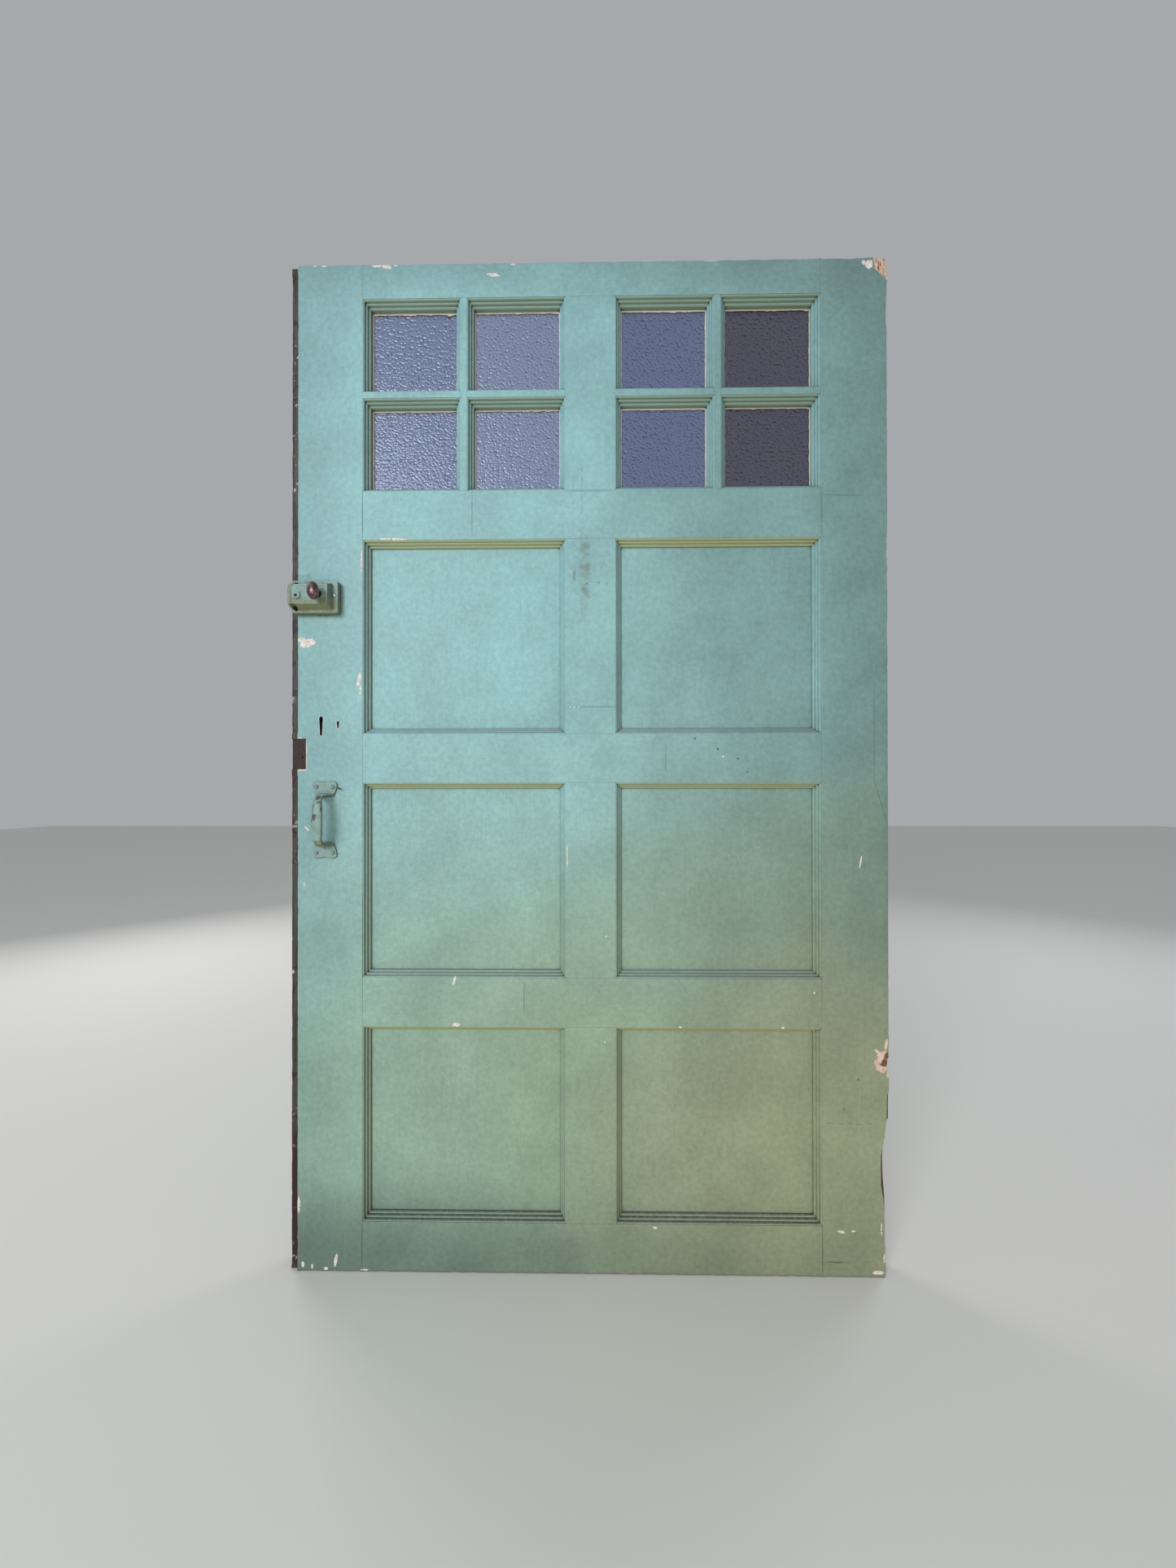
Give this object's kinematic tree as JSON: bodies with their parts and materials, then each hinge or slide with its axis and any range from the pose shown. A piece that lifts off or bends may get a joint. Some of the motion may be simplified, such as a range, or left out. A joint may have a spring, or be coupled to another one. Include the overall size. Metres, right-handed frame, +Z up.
{
  "type": "garage door leaf",
  "caption": "Worn painted timber garage door leaf, part glazed with obscure glass above flat panels, with a rim lock and a cast pull handle on its inner face.",
  "frame": {"origin": "centre of the hinge edge: on its flat face, at mid height and mid thickness", "axes": "+X from the meeting edge towards the hinge edge, -Y out of the inner face, +Z up"},
  "size_m": [1.235, 0.1088, 2.09],
  "materials": {
    "timber_paint": "old brushed paint over primer, chipped",
    "obscure_glass": "hammered on one face",
    "putty": "set putty",
    "casting_paint": "brushed paint, worn to the metal",
    "bronze": "browned",
    "bare_steel": "dull",
    "rusty_iron": "rusted"
  },
  "bodies": {
    "door": {"bent_nail": "rusty_iron", "bottom_rail": "timber_paint", "frieze_rail": "timber_paint", "glass_left_1_1": "obscure_glass", "glass_left_1_2": "obscure_glass", "glass_left_2_1": "obscure_glass", "glass_left_2_2": "obscure_glass", "glass_right_1_1": "obscure_glass", "glass_right_1_2": "obscure_glass", "glass_right_2_1": "obscure_glass", "glass_right_2_2": "obscure_glass", "glazing_bar_left_cross_1": "timber_paint", "glazing_bar_left_cross_2": "timber_paint", "glazing_bar_left_upright": "timber_paint", "glazing_bar_right_cross_1": "timber_paint", "glazing_bar_right_cross_2": "timber_paint", "glazing_bar_right_upright": "timber_paint", "handle_screw_1": "casting_paint", "handle_screw_2": "casting_paint", "handle_screw_3": "casting_paint", "handle_screw_4": "casting_paint", "hinge_stile": "timber_paint", "lock_case": "casting_paint", "lock_cylinder": "casting_paint", "lock_screw": "bare_steel", "lock_stile": "timber_paint", "lower_rail": "timber_paint", "middle_rail": "timber_paint", "mullion_1": "timber_paint", "mullion_2": "timber_paint", "mullion_3": "timber_paint", "mullion_4": "timber_paint", "panel_left_1": "timber_paint", "panel_left_2": "timber_paint", "panel_left_3": "timber_paint", "panel_right_1": "timber_paint", "panel_right_2": "timber_paint", "panel_right_3": "timber_paint", "pull_handle": "casting_paint", "putty_left_1_1": "putty", "putty_left_1_2": "putty", "putty_left_2_1": "putty", "putty_left_2_2": "putty", "putty_right_1_1": "putty", "putty_right_1_2": "putty", "putty_right_2_1": "putty", "putty_right_2_2": "putty", "top_rail": "timber_paint"},
    "knob": {"lock_knob": "bronze"},
    "bolt": {"lock_bolt": "bare_steel"}
  },
  "joints": [
    {"name": "knob_turn", "type": "hinge", "parent": "door", "child": "knob", "pos_m": [-1.1603, -0.0585, 0.3483], "axis": [0, -1, 0], "range_deg": [0, 60]},
    {"name": "bolt_slide", "type": "slide", "parent": "door", "child": "bolt", "axis": [-1, 0, 0], "range_m": [0, 0.012]}
  ],
  "couplings": [
    {"joint": "bolt_slide", "follows": "knob_turn", "m_per_rad": 0.01145}
  ]
}
